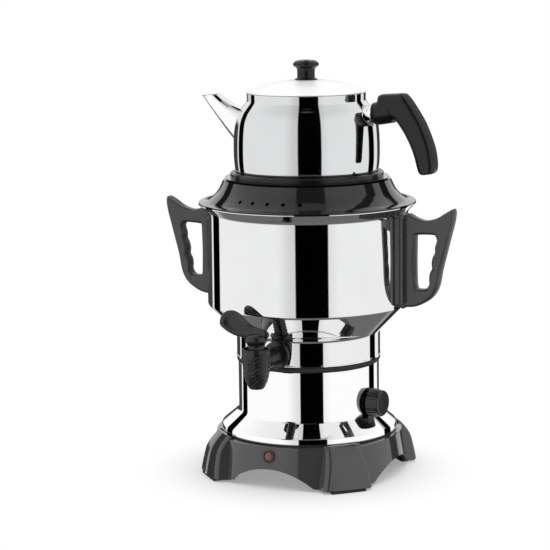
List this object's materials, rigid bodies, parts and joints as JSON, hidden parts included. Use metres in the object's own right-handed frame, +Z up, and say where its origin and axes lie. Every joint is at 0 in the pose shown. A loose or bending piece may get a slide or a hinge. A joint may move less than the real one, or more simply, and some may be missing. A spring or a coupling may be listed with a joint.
{
  "type": "electric tea samovar",
  "caption": "Electric samovar: arched base and heater stand, steel water tank with a front tap and side handles, vented hood and a lidded teapot on top.",
  "frame": {"origin": "on the floor, under the middle of the bounding box, half way between the tap's front and the tank rim's back; the upright axis of the base, tank, hood and teapot is 12.8 mm behind it", "axes": "+Z up; the front, with the tap and the pilot lamp, faces -Y; the side handles stand at +X and -X, the teapot's handle at +X and its spout at -X"},
  "size_m": [0.3124, 0.2412, 0.4112],
  "materials": {
    "polished_steel": "mirror-polished stainless sheet",
    "plain_steel": "plain zinc-plated steel",
    "cast_aluminium": "as cast",
    "brass": "turned",
    "gloss_black_plastic": "gloss moulded",
    "satin_black_plastic": "satin moulded",
    "black_rubber": "matt",
    "white_plastic": "matt moulded",
    "red_lens": "clear red, polished"
  },
  "bodies": {
    "stand": {"base_housing": "gloss_black_plastic", "foot_pad_1": "black_rubber", "foot_pad_2": "black_rubber", "foot_pad_3": "black_rubber", "foot_pad_4": "black_rubber", "bottom_plate": "plain_steel", "plate_screw_1": "plain_steel", "plate_screw_2": "plain_steel", "plate_screw_3": "plain_steel", "plate_screw_4": "plain_steel", "pilot_bezel": "satin_black_plastic", "pilot_lens": "red_lens", "pilot_lamp_holder": "white_plastic", "cord_gland": "satin_black_plastic", "stand_sleeve": "polished_steel", "seat_ring": "black_rubber", "water_tank": "polished_steel", "heater_plate": "cast_aluminium", "heating_element": "plain_steel", "element_clamp": "plain_steel", "thermal_cutout": "white_plastic", "clamp_nut": "brass", "tie_nut": "brass", "tie_rod": "plain_steel", "terminal_block": "white_plastic", "thermostat_body": "white_plastic", "thermostat_nut": "plain_steel", "tap_body": "satin_black_plastic", "tap_outer_washer": "black_rubber", "tap_inner_washer": "black_rubber", "tap_nut": "brass", "tank_handle_right": "satin_black_plastic", "tank_handle_right_screw_1": "plain_steel", "tank_handle_right_screw_2": "plain_steel", "tank_handle_left": "satin_black_plastic", "tank_handle_left_screw_1": "plain_steel", "tank_handle_left_screw_2": "plain_steel"},
    "hood": {"hood": "gloss_black_plastic", "pot_ring": "satin_black_plastic"},
    "teapot": {"teapot_body": "polished_steel", "teapot_spout": "polished_steel", "handle_ferrule": "polished_steel", "handle_stud": "plain_steel", "teapot_handle": "satin_black_plastic"},
    "lid": {"teapot_lid": "polished_steel", "lid_knob": "satin_black_plastic", "knob_washer": "black_rubber", "knob_screw": "plain_steel"},
    "tap_key": {"tap_plug": "satin_black_plastic", "tap_seal": "black_rubber", "key_pin": "plain_steel", "tap_key": "satin_black_plastic"},
    "thermostat_knob": {"thermostat_shaft": "brass", "thermostat_knob": "satin_black_plastic"}
  },
  "joints": [
    {"name": "hood_lift", "type": "slide", "parent": "stand", "child": "hood", "axis": [0, 0, 1], "range_m": [0, 0.06]},
    {"name": "teapot_lift", "type": "slide", "parent": "hood", "child": "teapot", "axis": [0, 0, 1], "range_m": [0, 0.1]},
    {"name": "lid_lift", "type": "slide", "parent": "teapot", "child": "lid", "axis": [0, 0, 1], "range_m": [0, 0.08]},
    {"name": "tap_turn", "type": "hinge", "parent": "stand", "child": "tap_key", "pos_m": [0, -0.1072, 0.1295], "axis": [0, 0, 1], "range_deg": [0, 90]},
    {"name": "thermostat_turn", "type": "hinge", "parent": "stand", "child": "thermostat_knob", "pos_m": [0.06997, 0.00421, 0.075], "axis": [0.9925, -0.1219, 0], "range_deg": [0, 270]}
  ]
}
